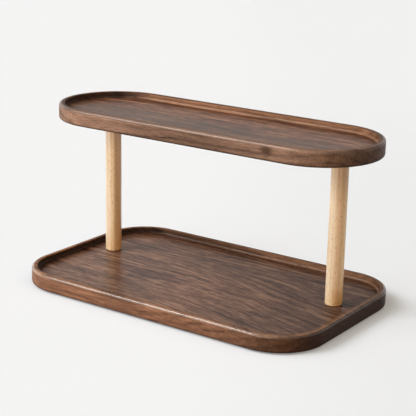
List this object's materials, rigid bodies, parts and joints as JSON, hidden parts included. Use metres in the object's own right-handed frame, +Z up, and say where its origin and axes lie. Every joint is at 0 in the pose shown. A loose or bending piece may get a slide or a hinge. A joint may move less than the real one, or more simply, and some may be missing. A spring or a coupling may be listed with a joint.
{
  "type": "two-tier countertop organizer",
  "caption": "Two-tier countertop organizer: a walnut tray with rounded corners below and a narrower full-round-ended tray above, on round beech posts.",
  "frame": {"origin": "on the worktop under the middle of the lower tray, at the underside of the non-slip pads", "axes": "+X along the trays towards the right post, +Y towards the back (the side that the posts and the upper tray are set towards), +Z up"},
  "size_m": [0.428, 0.245, 0.2106],
  "materials": {
    "walnut": "satin lacquered walnut, grain along the length",
    "beech": "matt lacquered beech, straight grain along the post",
    "zinc_plated_steel": "bright zinc plate",
    "insert_brass": "as turned",
    "pad_rubber": "matt black non-slip rubber"
  },
  "bodies": {
    "root": {"lower_tray": "walnut", "upper_tray": "walnut", "left_post": "beech", "right_post": "beech", "left_base_bolt": "zinc_plated_steel", "right_base_bolt": "zinc_plated_steel", "left_hanger_bolt": "zinc_plated_steel", "right_hanger_bolt": "zinc_plated_steel", "left_post_insert": "insert_brass", "right_post_insert": "insert_brass", "left_shelf_insert": "insert_brass", "right_shelf_insert": "insert_brass", "front_left_pad": "pad_rubber", "front_right_pad": "pad_rubber", "back_left_pad": "pad_rubber", "back_right_pad": "pad_rubber"}
  },
  "joints": []
}
